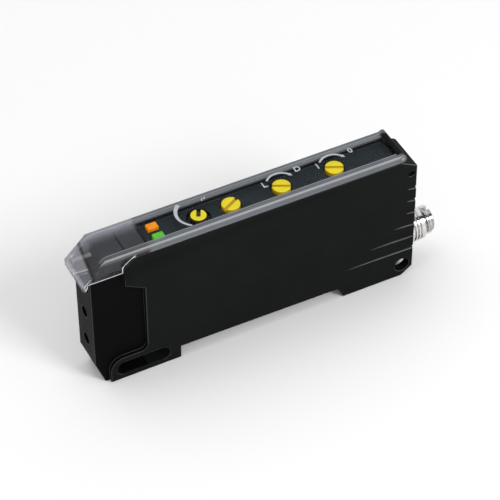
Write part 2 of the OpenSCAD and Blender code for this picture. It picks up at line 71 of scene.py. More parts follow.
# camera at the photo's viewing angle
cameraPlace = {
    "aim": (-2.41, 0, 23.88),       # millimetres
    "distance": 640.4,
    "azimuth": 26.78,               # degrees, round to the fibre end
    "elevation": 44.25,
    "roll": -0.397,
    "lens": 174.8,
    "nearest": 0.01,                # metres
}


def addCamera(place):
    turn = Matrix.Rotation(math.radians(-place["azimuth"]), 3, "Z")
    tilt = Matrix.Rotation(math.radians(90 - place["elevation"]), 3, "X")
    roll = Matrix.Rotation(math.radians(place["roll"]), 3, "Z")
    forward = turn @ tilt @ Vector((0, 0, -1))
    data = bpy.data.cameras.new("photoCamera")
    data.lens = place["lens"]
    data.clip_start = place["nearest"]
    camera = bpy.data.objects.new("photoCamera", data)
    camera.matrix_world = (turn @ tilt @ roll).to_4x4()
    camera.location = (Vector(place["aim"]) - forward * place["distance"]) * mm
    scene.collection.objects.link(camera)
    scene.camera = camera


addCamera(cameraPlace)
print("camera set")


# a socket that can stand in a sum
class Wire:
    def __init__(self, finish, socket):
        self.finish = finish
        self.socket = socket

    def maths(self, operation, first, second):
        return self.finish.node("ShaderNodeMath", {"operation": operation}, {0: first, 1: second})

    def __add__(self, other):
        return self.maths("ADD", self, other)

    def __radd__(self, other):
        return self.maths("ADD", other, self)

    def __sub__(self, other):
        return self.maths("SUBTRACT", self, other)

    def __rsub__(self, other):
        return self.maths("SUBTRACT", other, self)

    def __mul__(self, other):
        return self.maths("MULTIPLY", self, other)

    def __rmul__(self, other):
        return self.maths("MULTIPLY", other, self)

    def larger(self, other):
        return self.maths("MAXIMUM", self, other)

    def size(self):
        return self.finish.node("ShaderNodeMath", {"operation": "ABSOLUTE"}, {0: self})


# the nodes of one material, or of the world
class Finish:
    def __init__(self, owner):
        owner.use_nodes = True
        self.tree = owner.node_tree
        self.tree.nodes.clear()

    def feed(self, socket, value):
        if isinstance(value, Wire):
            self.tree.links.new(value.socket, socket)
        else:
            socket.default_value = value

    def node(self, kind, settings=None, sockets=None, out=0):
        made = self.tree.nodes.new(kind)
        for key, value in (settings or {}).items():
            setattr(made, key, value)
        for key, value in (sockets or {}).items():
            self.feed(made.inputs[key], value)
        return Wire(self, made.outputs[out]) if made.outputs else made


def paint(red, green, blue):
    # screen values 0 to 255 as the linear colour that Blender mixes
    shares = [value / 255 for value in (red, green, blue)]
    linear = [((s + 0.055) / 1.055) ** 2.4 if s > 0.04045 else s / 12.92 for s in shares]
    return (*linear, 1)


finishes = {}
noiseBand = (0.3, 0.7)      # most of a noise lies between these values


def newFinish(name):
    material = bpy.data.materials.new(name)
    finishes[name] = material
    return Finish(material)


def objectPlace(f):
    return f.node("ShaderNodeTexCoord", out="Object")


def axesOf(f, place):
    return [f.node("ShaderNodeSeparateXYZ", {}, {0: place}, out=i) for i in range(3)]


def noise(f, place, scale, detail):
    return f.node("ShaderNodeTexNoise", {}, {"Vector": place, "Scale": scale, "Detail": detail}, out="Fac")


def blendColours(f, amount, first, second):
    # a Mix node's colours are its inputs 6 and 7 and its output 2
    return f.node("ShaderNodeMix", {"data_type": "RGBA"}, {0: amount, 6: first, 7: second}, out=2)


def spread(f, value, low, high, toLow, toHigh):
    return f.node("ShaderNodeMapRange", {}, {0: value, 1: low, 2: high, 3: toLow, 4: toHigh})


def swing(f, value, band, middle, reach):
    return spread(f, value, *band, middle - reach, middle + reach)


def bumps(f, height, strength, deep):
    return f.node("ShaderNodeBump", {}, {"Strength": strength, "Distance": deep * mm, "Height": height})


def shade(f, sockets):
    body = f.node("ShaderNodeBsdfPrincipled", {}, sockets)
    f.node("ShaderNodeOutputMaterial", {}, {"Surface": body})


# moulded and sheet finishes: two close colours, a fine grain and slow drifts of gloss
mouldedMake = {"grainShare": 0.4, "glossBand": (0.4, 1),
               "hollowShadeFade": 0.2, "sunkFade": 0.08}     # millimetres


def mouldedFinish(name, look):
    f = newFinish(name)
    place = objectPlace(f)
    axes = axesOf(f, place)
    grain = noise(f, place, look["grainScale"], detail=2)
    drift = noise(f, place, look["driftScale"], detail=4)
    colour = blendColours(f, spread(f, drift, *noiseBand, 0, 1), paint(*look["dark"]), paint(*look["light"]))
    deep = paint(*look.get("deep", look["dark"]))
    # painted shade: inside each shaded hollow box the colour turns to the deep colour
    for middle, half in look.get("shadedHollows", []):
        inside = 1
        for axis, m, h in zip(axes, middle, half):
            start = (h - mouldedMake["hollowShadeFade"]) * mm
            inside = inside * spread(f, (axis - m * mm).size(), start, h * mm, 1, 0)
        colour = blendColours(f, inside, colour, deep)
    # painted shade: faces nearer the middle than the rim take the deep colour
    if "rim" in look:
        shown = spread(f, axes[1].size(), look["rim"][0] * mm, look["rim"][1] * mm, 0, 1)
        colour = blendColours(f, shown, deep, colour)
    # painted shade: under the given height the dial's sides and slot take the deep colour
    if "below" in look:
        start = (look["below"] - mouldedMake["sunkFade"]) * mm
        sunk = spread(f, axes[2], start, look["below"] * mm, 1, 0)
        colour = blendColours(f, sunk, colour, deep)
    mottle = drift + grain * mouldedMake["grainShare"]
    gloss = swing(f, mottle, mouldedMake["glossBand"], look["rough"], look["roughSwing"])
    shade(f, {"Base Color": colour, "Roughness": gloss, "Specular IOR Level": look["specular"],
              "Normal": bumps(f, grain, look["bump"], look["grainDepth"])})


# lengths in millimetres: each shaded hollow is a box (middle, half size), rim is a range of half width, below
# is a height; inside those boxes, inside the rim and under that height the deep colour is laid as painted
# shade
mouldedLooks = {
    "case_black": {
        # deep is painted shade, laid on the recessed front flanks and the small rear-top recess
        "dark": (20, 21, 21), "light": (24, 25, 25), "rough": 0.46, "roughSwing": 0.06, "specular": 0.022,
        "grainScale": 5200, "driftScale": 90, "bump": 0.3, "grainDepth": 0.02, "deep": (8, 8, 9),
        "shadedHollows": [((-44.0, 0, 30), (8.6, 5.6, 40)), ((42.65, 0, 36.95), (1.1, 6.0, 0.95))]},
    "case_edge_wear_and_sheen": {
        # lighter edges: partly wear, partly a painted highlight
        "dark": (40, 42, 42), "light": (50, 52, 52), "rough": 0.34, "roughSwing": 0.06, "specular": 0.22,
        "grainScale": 5200, "driftScale": 400, "bump": 0.1, "grainDepth": 0.01},
    "groove_lip_highlight": {
        # a painted highlight on the grooves' upward faces, with painted shade (deep) inside the rim
        "dark": (92, 94, 94), "light": (110, 112, 112), "rough": 0.4, "roughSwing": 0.06, "specular": 0.1,
        "grainScale": 5200, "driftScale": 400, "bump": 0.1, "grainDepth": 0.01, "deep": (16, 17, 17),
        "rim": (5.68, 5.95)},
    "panel_black": {
        "dark": (30, 37, 40), "light": (36, 43, 46), "rough": 0.42, "roughSwing": 0.06, "specular": 0.1,
        "grainScale": 6500, "driftScale": 120, "bump": 0.08, "grainDepth": 0.006},
    "grey_plastic": {
        "dark": (80, 81, 83), "light": (92, 93, 95), "rough": 0.5, "roughSwing": 0.06, "specular": 0.15,
        "grainScale": 5200, "driftScale": 140, "bump": 0.1, "grainDepth": 0.008},
    "dial_yellow": {
        # deep is painted shade on the sides and slot below the top face
        "dark": (236, 216, 22), "light": (248, 230, 36), "rough": 0.42, "roughSwing": 0.06, "specular": 0.3,
        "grainScale": 6000, "driftScale": 300, "bump": 0.1, "grainDepth": 0.008, "deep": (208, 166, 20),
        "below": 42.85},
    "trimmer_black": {
        "dark": (16, 16, 18), "light": (24, 24, 26), "rough": 0.5, "roughSwing": 0.06, "specular": 0.2,
        "grainScale": 6000, "driftScale": 200, "bump": 0.25, "grainDepth": 0.015},
    "print_white": {
        "dark": (164, 169, 174), "light": (190, 194, 198), "rough": 0.6, "roughSwing": 0.05, "specular": 0.2,
        "grainScale": 4000, "driftScale": 900, "bump": 0.2, "grainDepth": 0.01},
    "lamp_white": {
        "dark": (226, 228, 228), "light": (238, 240, 240), "rough": 0.55, "roughSwing": 0.05, "specular": 0.3,
        "grainScale": 7000, "driftScale": 260, "bump": 0.15, "grainDepth": 0.01},
    "chip_black": {
        "dark": (22, 22, 24), "light": (32, 32, 34), "rough": 0.6, "roughSwing": 0.08, "specular": 0.3,
        "grainScale": 8000, "driftScale": 300, "bump": 0.4, "grainDepth": 0.015},
    "board_green": {
        "dark": (10, 62, 36), "light": (16, 84, 48), "rough": 0.35, "roughSwing": 0.08, "specular": 0.4,
        "grainScale": 2600, "driftScale": 160, "bump": 0.2, "grainDepth": 0.01},
    "insert_black": {
        "dark": (18, 18, 18), "light": (26, 26, 26), "rough": 0.55, "roughSwing": 0.06, "specular": 0.25,
        "grainScale": 6500, "driftScale": 260, "bump": 0.25, "grainDepth": 0.015},
    "seal_rubber": {
        "dark": (14, 14, 14), "light": (22, 22, 22), "rough": 0.75, "roughSwing": 0.08, "specular": 0.2,
        "grainScale": 5000, "driftScale": 260, "bump": 0.4, "grainDepth": 0.02},
    "emitter_red": {
        "dark": (150, 18, 14), "light": (180, 26, 20), "rough": 0.2, "roughSwing": 0.05, "specular": 0.5,
        "grainScale": 3000, "driftScale": 300, "bump": 0.1, "grainDepth": 0.01},
    "detector_dark": {
        "dark": (30, 22, 40), "light": (42, 32, 54), "rough": 0.2, "roughSwing": 0.05, "specular": 0.5,
        "grainScale": 3000, "driftScale": 300, "bump": 0.1, "grainDepth": 0.01},
    "cover_edge_glint": {
        # a painted glint on the cover's outer lower edges
        "dark": (206, 208, 211), "light": (246, 247, 248), "rough": 0.25, "roughSwing": 0.08, "specular": 0.4,
        "grainScale": 2400, "driftScale": 700, "bump": 0.1, "grainDepth": 0.01},
}
# the sensitivity dial is painted in deeper shade on its sides and slot
mouldedLooks["fine_dial_deep_shade"] = {**mouldedLooks["dial_yellow"], "deep": (58, 48, 18)}
for name, look in mouldedLooks.items():
    mouldedFinish(name, look)


# lamp lenses glow through a faintly ribbed face
def lensFinish(name, look):
    f = newFinish(name)
    place = objectPlace(f)
    cloud = noise(f, place, look["cloudScale"], detail=2)
    ribs = f.node("ShaderNodeTexWave", {"bands_direction": "X"},
                  {"Vector": place, "Scale": look["ribScale"]}, out="Fac")
    deep, bright = paint(*look["deep"]), paint(*look["bright"])
    colour = blendColours(f, cloud, deep, bright)
    glow = blendColours(f, spread(f, cloud, *noiseBand, 0, 1), deep, bright)
    shade(f, {"Base Color": colour, "Roughness": spread(f, cloud, 0, 1, *look["rough"]),
              "Normal": bumps(f, ribs, look["bump"], look["ribDepth"]),
              "Specular IOR Level": look["specular"],
              "Emission Color": glow, "Emission Strength": look["glow"]})


lensMake = {"cloudScale": 700, "ribScale": 500, "bump": 0.3, "rough": (0.2, 0.34), "specular": 0.25,
            "glow": 0.35, "ribDepth": 0.03}             # millimetres
lensFinish("lens_orange", {"deep": (214, 110, 2), "bright": (228, 144, 8), **lensMake})
lensFinish("lens_green", {"deep": (58, 152, 26), "bright": (94, 186, 48), **lensMake})


# turned, plated and stamped metal
metalMake = {"waver": 1.5, "lineDetail": 2, "lineShare": 0.3, "glossBand": (0.2, 0.8),
             "lineDepth": 0.01}                         # millimetres


def metalFinish(name, look):
    f = newFinish(name)
    place = objectPlace(f)
    drift = noise(f, place, look["driftScale"], detail=4)
    lines = f.node("ShaderNodeTexWave", {"bands_direction": look["along"]},
                   {"Vector": place, "Scale": look["lineScale"], "Distortion": metalMake["waver"],
                    "Detail": metalMake["lineDetail"]}, out="Fac")
    colour = blendColours(f, drift, paint(*look["dark"]), paint(*look["light"]))
    # painted shade: the grooves, thread roots and bore of the plug take a darker colour
    if "grooveShade" in look:
        grooveShade = look["grooveShade"]
        along, across, up = axesOf(f, place)
        spoke = f.node("ShaderNodeCombineXYZ", {}, {1: across, 2: up - grooveShade["axisHeight"] * mm})
        reach = f.node("ShaderNodeVectorMath", {"operation": "LENGTH"}, {0: spoke}, out="Value")
        step = spread(f, along, grooveShade["stepFrom"] * mm, grooveShade["stepTo"] * mm, 0, grooveShade["step"] * mm)
        inGrooveShade = spread(f, reach + step, grooveShade["low"] * mm, grooveShade["high"] * mm, 1, 0)
        colour = blendColours(f, inGrooveShade, colour, paint(*grooveShade["colour"]))
    share = metalMake["lineShare"]
    mottle = drift * (1 - share) + lines * share
    gloss = swing(f, mottle, metalMake["glossBand"], look["rough"], look["roughSwing"])
    shade(f, {"Base Color": colour, "Metallic": 1.0, "Roughness": gloss,
              "Normal": bumps(f, lines, look["bump"], metalMake["lineDepth"])})


metalLooks = {
    "nickel": {
        "dark": (208, 206, 203), "light": (234, 232, 230), "rough": 0.12, "roughSwing": 0.04,
        "driftScale": 260, "along": "X", "lineScale": 3200, "bump": 0.12,
        # millimetres: the plug's grooves are painted in shade, and its thread is a step smaller than its
        # collar
        "grooveShade": {"axisHeight": 11.6, "stepFrom": 49.4, "stepTo": 49.5, "step": 0.93,
                 "low": 4.42, "high": 4.56, "colour": (160, 162, 166)}},
    "contact_gold": {
        "dark": (206, 160, 74), "light": (228, 186, 98), "rough": 0.24, "roughSwing": 0.05,
        "driftScale": 400, "along": "X", "lineScale": 3600, "bump": 0.08},
    "steel": {
        "dark": (168, 168, 170), "light": (194, 194, 196), "rough": 0.3, "roughSwing": 0.06,
        "driftScale": 400, "along": "Y", "lineScale": 3000, "bump": 0.1},
    "can_metal": {
        "dark": (180, 182, 184), "light": (202, 204, 206), "rough": 0.34, "roughSwing": 0.07,
        "driftScale": 200, "along": "X", "lineScale": 1500, "bump": 0.08},
}
for name, look in metalLooks.items():
    metalFinish(name, look)

# smoked clear plastic: a clear window, a tinted nose, and a hazy border with painted highlight streaks
clearLook = {
    "window": (246, 247, 248), "nose": (190, 190, 195), "shadow": (246, 247, 248), "ior": 1.06,
    "windowRough": 0.02, "hazeRough": 0.3, "roughSwing": 0.01, "hazeGloss": 0.03,
    "grainScale": 300, "driftScale": 160, "driftHaze": (0.85, 1),
    # colours of the haze; the nose's near and far tones and the fold, streak and glint colours are painted
    # light and shade
    "haze": (98, 102, 108), "noseNear": (78, 79, 81), "noseFar": (142, 145, 152), "glintStreak": (186, 187, 190),
    "tip": (158, 158, 164), "chamfer": (122, 124, 133), "crease": (214, 212, 212), "bend": (44, 40, 40),
    "glint": (244, 243, 240),
    # how thick it is, from 0 to 1
    "noseHaze": (0.15, 0.5), "borderHaze": 0.85, "frontHaze": 0.42, "wallHaze": 0.3, "tipHaze": 0.5,
    "chamferHaze": 0.55, "creaseHaze": 0.6, "bendHaze": 0.6, "glintHaze": 0.9,
    # where it starts and ends, in millimetres along the part
    "noseEdge": (-33.0, -34.4), "frontEdge": (-46.25, -45.35), "lipStart": (-51.0, -50.6),
    "browStart": (-41.75, -41.45), "browEnd": (-38.2, -37.4),
    # across the part, from its middle, and up it
    "farEdge": (0.8, 4.0), "borderEdge": (4.05, 4.35), "sideEdge": (5.2, 5.5), "glintSide": (5.3, 5.6),
    "wallEdge": (42.4, 43.4), "lipHeight": 38.0,
    # folds of the nose, and how far from a fold its tone reaches
    "tipAt": -48.98, "tipTilt": 0.1155, "creaseAt": (-52.01, -0.54), "creaseSlope": 1.038,
    "browAt": (-41.25, 40.09), "browSlope": 0.758,
    "tipEdge": (0.2, -0.2), "bendEdge": (0.1, 0.6), "creaseEdge": (0.1, 0.4), "chamferEdge": (0, -0.3),
    "glintEdge": (0.3, 0.65),
    # painted highlight streaks along the border: place across, half width, strength
    "glintStreaks": [(4.6, 0.2, 0.4), (-4.4, 0.2, 0.6), (-5.0, 0.12, 0.3), (-5.75, 0.28, 0.9)], "streakCore": 0.3,
}


def clearFinish(name, look):
    f = newFinish(name)
    place = objectPlace(f)
    along, across, up = axesOf(f, place)
    away = across.size()
    grain = noise(f, place, look["grainScale"], detail=2)
    drift = noise(f, place, look["driftScale"], detail=3)

    def fade(value, edge, start, end):
        return spread(f, value, look[edge][0] * mm, look[edge][1] * mm, start, end)

    nose = fade(along, "noseEdge", 0, 1)
    far = fade(across, "farEdge", 0, 1)
    border = fade(away, "borderEdge", 0, look["borderHaze"]) * fade(up, "wallEdge", 0, 1).larger(1 - nose)
    glintStreak = 0
    # painted highlights: light streaks along the hazy border
    for middle, half, strength in look["glintStreaks"]:
        fromStreak = (across - middle * mm).size()
        glintStreak = spread(f, fromStreak, look["streakCore"] * half * mm, half * mm, strength, 0) + glintStreak
    # the tip's fold, and the crease that cuts off its near corner: painted light on the tip, dimmer on the
    # chamfer, a painted highlight along the crease and painted shade along the fold
    fromTip = along - look["tipAt"] * mm - across * look["tipTilt"]
    tip = fade(fromTip, "tipEdge", 0, 1)
    bend = fade(fromTip.size(), "bendEdge", 1, 0)
    creaseX, creaseY = look["creaseAt"]
    fromCrease = across - creaseY * mm + (along - creaseX * mm) * look["creaseSlope"]
    crease = tip * fade(fromCrease.size(), "creaseEdge", 1, 0)
    chamfer = tip * fade(fromCrease, "chamferEdge", 0, 1)
    # light on the lower edges of the walls: the level lip and the brow that climbs the case's shoulder
    browX, browZ = look["browAt"]
    overBrow = up - browZ * mm - (along - browX * mm) * look["browSlope"]
    brow = fade(overBrow, "glintEdge", 1, 0) * (fade(along, "browStart", 0, 1) * fade(along, "browEnd", 1, 0))
    lip = fade(up - look["lipHeight"] * mm, "glintEdge", 1, 0) * fade(along, "lipStart", 0, 1)
    glint = lip.larger(brow) * fade(away, "glintSide", 0, 1)
    # thickness of the haze, then its colour
    front = fade(along, "frontEdge", look["frontHaze"], 0)
    wall = nose * fade(away, "sideEdge", 0, look["wallHaze"])
    hazy = (nose * spread(f, far, 0, 1, *look["noseHaze"])).larger(front).larger(wall).larger(border)
    folds = {"tip": tip, "chamfer": chamfer, "crease": crease, "bend": bend, "glint": glint}
    for fold, amount in folds.items():
        hazy = hazy.larger(amount * look[fold + "Haze"])
    hazy = hazy * spread(f, drift, *noiseBand, *look["driftHaze"])
    # painted reflection: the nose's haze grows lighter from the near side to the far side
    noseReflection = blendColours(f, far, paint(*look["noseNear"]), paint(*look["noseFar"]))
    tone = blendColours(f, nose, paint(*look["haze"]), noseReflection)
    # painted light and shade on the nose's folds, then the border's streaks, then the glints
    for fold in ("tip", "chamfer", "crease"):
        tone = blendColours(f, folds[fold], tone, paint(*look[fold]))
    tone = blendColours(f, glintStreak * border, tone, paint(*look["glintStreak"]))
    for fold in ("bend", "glint"):
        tone = blendColours(f, folds[fold], tone, paint(*look[fold]))
    window = f.node("ShaderNodeBsdfPrincipled", {}, {
        "Base Color": blendColours(f, nose, paint(*look["window"]), paint(*look["nose"])),
        "Roughness": swing(f, grain, noiseBand, look["windowRough"], look["roughSwing"]),
        "IOR": look["ior"], "Transmission Weight": 1.0})
    haze = f.node("ShaderNodeBsdfPrincipled", {}, {
        "Base Color": tone, "Specular IOR Level": look["hazeGloss"],
        "Roughness": swing(f, grain, noiseBand, look["hazeRough"], look["roughSwing"])})
    cover = f.node("ShaderNodeMixShader", {}, {0: hazy, 1: window, 2: haze})
    # lamplight passes through it
    through = f.node("ShaderNodeBsdfTransparent", {}, {"Color": paint(*look["shadow"])})
    passing = (f.node("ShaderNodeLightPath", out="Is Shadow Ray")
               .larger(f.node("ShaderNodeLightPath", out="Is Diffuse Ray")))
    mixed = f.node("ShaderNodeMixShader", {}, {0: passing, 1: cover, 2: through})
    f.node("ShaderNodeOutputMaterial", {}, {"Surface": mixed})


clearFinish("smoked_clear", clearLook)
print("finishes made:", len(finishes))

nodeFinish = {
    "housing": "case_black", "side_cover": "case_black", "control_panel": "panel_black",
    "clear_cover": "smoked_clear", "hinge_pin": "steel",
    "sensitivity_dial": "fine_dial_deep_shade", "range_dial": "dial_yellow",
    "output_dial": "dial_yellow", "delay_dial": "dial_yellow",
    "sensitivity_trimmer": "trimmer_black", "range_trimmer": "trimmer_black",
    "output_switch": "trimmer_black", "delay_switch": "trimmer_black",
    "control_board": "board_green", "led_chips": "lamp_white",
    "output_lens": "lens_orange", "power_lens": "lens_green",
    "main_board": "board_green", "board_header": "chip_black", "board_screws": "steel",
    "signal_chip": "chip_black", "driver_chip": "chip_black",
    "capacitor": "can_metal", "shield_can": "can_metal",
    "optic_block": "grey_plastic", "fibre_lock": "grey_plastic",
    "emitter": "emitter_red", "receiver": "detector_dark",
    "connector_shell": "nickel", "connector_insert": "insert_black", "contact_pins": "contact_gold",
    "connector_nut": "nickel", "connector_seal": "seal_rubber",
}


def addPiece(name, work, finish, body):
    mesh = bpy.data.meshes.new(name)
    work.to_mesh(mesh)
    work.free()
    mesh.materials.append(finishes[finish])
    piece = bpy.data.objects.new(name, mesh)
    scene.collection.objects.link(piece)
    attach(piece, body)
    return piece


def bodyOf(node):
    return body_of(nodes[node])[0]


# edge rounding, in degrees and in millimetres from the fibre face
fibreFace = -50.35          # place of that face in the frame
# bends are place, height and width, plain is a box, and lips, end and above are limits
softEdges = {
    "housing": {"width": 0.12, "angle": 25, "outer": 0.28, "edgeFinish": "case_edge_wear_and_sheen",
                "bends": [(9.35, 39.84, 0.7), (12.2, 42.0, 0.7)], "lips": 70, "lipFinish": "groove_lip_highlight",
                "plain": (91.4, 35.6, 94.4, 38.3)},
    "side_cover": {"width": 0.1, "angle": 25, "edgeFinish": "case_edge_wear_and_sheen",
                   "lips": 70, "lipFinish": "groove_lip_highlight"},
    "control_panel": {"width": 0.1, "angle": 40},
    "clear_cover": {"width": 0.1, "angle": 25, "end": 87.8, "outer": 0.35, "edgeFinish": "cover_edge_glint",
                    "bends": [(4.4, 44.4, 1.1), (4.424, 43.3, 0.6), (9.1, 40.09, 0.7), (11.95, 42.25, 0.7)]},
    "sensitivity_dial": {"width": 0.15, "angle": 40, "slot": "dial_yellow"},
    "range_dial": {"width": 0.18, "angle": 40},
    "output_dial": {"width": 0.18, "angle": 40},
    "delay_dial": {"width": 0.18, "angle": 40},
    "sensitivity_trimmer": {"width": 0.1, "angle": 40},
    "range_trimmer": {"width": 0.12, "angle": 40},
    "output_switch": {"width": 0.12, "angle": 40},
    "delay_switch": {"width": 0.12, "angle": 40},
    "output_lens": {"width": 0.25, "angle": 40},
    "power_lens": {"width": 0.25, "angle": 40},
    "optic_block": {"width": 0.15, "angle": 40, "above": 37.1},
    "fibre_lock": {"width": 0.2, "angle": 25},
    "connector_insert": {"width": 0.1, "angle": 40},
    "contact_pins": {"width": 0.2, "angle": 40},
    "connector_nut": {"width": 0.12, "angle": 40},
    "connector_seal": {"width": 0.12, "angle": 40},
    "hinge_pin": {"width": 0.1, "angle": 40},
}
# what counts as which edge, in millimetres; flat is in degrees, lipLean a part of a face's normal
rounding = {
    "merge": 0.03, "flat": 0.5, "bendSteps": 6, "edgeSteps": 3, "near": 0.02,
    "grooveOutside": 5.3, "grooveLow": 8.5, "grooveHigh": 33.5, "grooveLong": 1.5,
    "lipOutside": 5.2, "lipLean": 0.3,
    "outside": 5.99, "outerLong": 5, "flankOutside": 4.75, "flankEnd": 14.85, "coverEdges": 42.4,
}
finishPlace = {"edgeFinish": 1, "lipFinish": 2}     # after the piece's own finish


def alongGroove(edge, start):
    ends = [v.co / mm for v in edge.verts]
    return (min(c.x for c in ends) > start + fibreFace
            and abs(ends[0].x - ends[1].x) > rounding["grooveLong"]
            and all(abs(c.y) > rounding["grooveOutside"] for c in ends)
            and all(rounding["grooveLow"] < c.z < rounding["grooveHigh"] for c in ends))


def sharpEdges(work, edges):
    # the edges to round, but for those past the given end, below the given height or along a grip groove
    end = (edges.get("end", math.inf) + fibreFace) * mm
    least = edges.get("above", -math.inf) * mm
    angle = math.radians(edges["angle"])
    return [e for e in work.edges if len(e.link_faces) == 2 and e.calc_face_angle() > angle
            and max(v.co.x for v in e.verts) < end and min(v.co.z for v in e.verts) > least
            and not ("lips" in edges and alongGroove(e, edges["lips"]))]


def roundOff(work, edges, width, segments):
    return bmesh.ops.bevel(work, geom=edges, offset=width * mm, offset_type="OFFSET", segments=segments,
                           profile=0.5, affect="EDGES", material=-1, clamp_overlap=False)["faces"]


def liesAt(edge, x, z):
    near = rounding["near"] * mm
    return all(abs(v.co.x - (x + fibreFace) * mm) < near and abs(v.co.z - z * mm) < near for v in edge.verts)


def isOuter(node, edge):
    # long edges of the case's outside, and the lower outer edges of the cover's walls
    ends = [v.co / mm for v in edge.verts]
    outside = all(abs(c.y) > rounding["outside"] for c in ends)
    if node == "clear_cover":
        return outside and all(c.z < rounding["coverEdges"] for c in ends)
    flankEnd = rounding["flankEnd"] + fibreFace
    onFlank = all(abs(c.y) > rounding["flankOutside"] and c.x < flankEnd for c in ends)
    return edge.calc_length() > rounding["outerLong"] * mm and (outside or onFlank)


def isLip(face, edges):
    # the upward faces of the grip grooves, which take a painted highlight
    middle = face.calc_center_median() / mm
    return (middle.x > edges.get("lips", math.inf) + fibreFace and abs(middle.y) > rounding["lipOutside"]
            and face.normal.z > rounding["lipLean"] and abs(face.normal.y) > rounding["lipLean"])


def isPlain(face, edges):
    # the rear recess keeps the case's own finish on its rim
    x0, z0, x1, z1 = edges.get("plain", (0, 0, 0, 0))
    middle = face.calc_center_median() / mm
    return x0 < middle.x - fibreFace < x1 and z0 < middle.z < z1


def soften(node, edges):
    work = bmesh.new()
    work.from_mesh(nodes[node].data)
    flat = math.radians(rounding["flat"])
    bmesh.ops.remove_doubles(work, verts=work.verts, dist=rounding["merge"] * mm)
    bmesh.ops.dissolve_limit(work, angle_limit=flat, verts=work.verts, edges=work.edges)
    wornAndGlinting = set()
    for x, z, width in edges.get("bends", []):
        roundOff(work, [e for e in sharpEdges(work, edges) if liesAt(e, x, z)], width, rounding["bendSteps"])
    if "outer" in edges:
        outer = [e for e in sharpEdges(work, edges) if isOuter(node, e)]
        wornAndGlinting.update(roundOff(work, outer, edges["outer"], rounding["edgeSteps"]))
    rest = [e for e in sharpEdges(work, edges) if not wornAndGlinting.intersection(e.link_faces)]
    fine = roundOff(work, rest, edges["width"], rounding["edgeSteps"])
    if node != "clear_cover":           # its fine edges stay clear
        wornAndGlinting.update(fine)
    # the rounded edges take the edge finish: on the case lighter, for wear and a painted highlight, on the
    # cover a painted glint; the grooves' upward faces take a painted highlight
    for face in work.faces:
        face.smooth = True
        if isLip(face, edges):
            face.material_index = finishPlace["lipFinish"]
        elif "edgeFinish" in edges and face in wornAndGlinting and not isPlain(face, edges):
            face.material_index = finishPlace["edgeFinish"]
    piece = addPiece(node + "_soft", work, nodeFinish[node], bodyOf(node))
    for kind in finishPlace:
        if kind in edges:
            piece.data.materials.append(finishes[edges[kind]])
    piece.modifiers.new("flats", "WEIGHTED_NORMAL")
    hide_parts(node)


for node, edges in softEdges.items():
    soften(node, edges)
for node, finish in nodeFinish.items():
    nodes[node].data.materials.clear()
    nodes[node].data.materials.append(finishes[finish])
print("edges rounded:", len(softEdges), "pieces")

# white print on the cover's window, in millimetres from the fibre face and the middle
printLook = {
    "rise": 44.42, "thick": 0.03, "arcSteps": 28, "arrow": 1.1, "merge": 1e-4,
    "letterScale": 1.35, "letterBold": 0.07,
    "scale": {"middle": (32.3, 0.15), "radius": 5.0, "from": 124, "to": 236, "wide": 1.15, "thin": 0.45},
    "scaleTicks": [(35.9, 3.5, 62, 1.1, 0.32), (36.7, 3.7, 62, 0.9, 0.32)],   # place, turn, length, width
    "turns": [
        {"middle": (57.0, -0.6), "radius": 4.05, "from": 140, "to": 36, "wide": 0.55},
        {"middle": (72.6, -0.6), "radius": 4.05, "from": 140, "to": 36, "wide": 0.55},
    ],
    "marks": [("L", 52.7, 0.9, 2.1), ("D", 63.1, 2.5, 1.9), ("1", 68.3, 0.9, 2.1), ("0", 78.8, 2.5, 1.9)],
}


def arcBand(work, arc, steps):
    # a flat band spun about its middle, then narrowed from one end to the other
    before = set(work.verts)
    start, turn = math.radians(arc["from"]), math.radians(arc["to"] - arc["from"])
    ends = [work.verts.new((arc["radius"] + half, 0, 0)) for half in (-0.5, 0.5)]
    line = work.edges.new(ends)
    bmesh.ops.rotate(work, verts=ends, matrix=Matrix.Rotation(start, 3, "Z"))
    bmesh.ops.spin(work, geom=ends + [line], cent=(0, 0, 0), axis=(0, 0, 1), angle=turn, steps=steps)
    made = [v for v in work.verts if v not in before]
    for v in made:
        share = (math.atan2(v.co.y, v.co.x) % math.tau - start) / turn
        wide = arc["wide"] + (arc.get("thin", arc["wide"]) - arc["wide"]) * share
        reach = v.co.length
        v.co *= (arc["radius"] + (reach - arc["radius"]) * wide) / reach
    bmesh.ops.translate(work, verts=made, vec=(*arc["middle"], 0))


def flatBar(work, x, y, turn, length, wide):
    made = bmesh.ops.create_grid(work, x_segments=1, y_segments=1, size=0.5)["verts"]
    bmesh.ops.scale(work, verts=made, vec=(length, wide, 1))
    bmesh.ops.rotate(work, verts=made, matrix=Matrix.Rotation(math.radians(turn), 3, "Z"))
    bmesh.ops.translate(work, verts=made, vec=(x, y, 0))


def arrowTip(work, turn, reach):
    angle = math.radians(turn["to"])
    side = -1 if turn["to"] < turn["from"] else 1
    out = Vector((math.cos(angle), math.sin(angle), 0))
    along = Vector((-out.y, out.x, 0)) * side
    root = Vector((*turn["middle"], 0)) + out * turn["radius"]
    corners = [root + out * turn["wide"], root - out * turn["wide"], root + along * reach]
    work.faces.new([work.verts.new(c) for c in corners])


def letterMesh(work, look, letter, x, y, size):
    curve = bpy.data.curves.new("mark", "FONT")
    curve.body = letter
    curve.size = size * look["letterScale"]
    curve.align_x = "CENTER"
    curve.align_y = "CENTER"
    curve.offset = look["letterBold"]
    holder = bpy.data.objects.new("mark", curve)
    scene.collection.objects.link(holder)
    bpy.context.view_layer.update()
    flat = bpy.data.meshes.new_from_object(holder.evaluated_get(bpy.context.evaluated_depsgraph_get()))
    before = set(work.verts)
    work.from_mesh(flat)
    bmesh.ops.translate(work, verts=[v for v in work.verts if v not in before], vec=(x, y, 0))
    bpy.data.objects.remove(holder)
    bpy.data.curves.remove(curve)
    bpy.data.meshes.remove(flat)


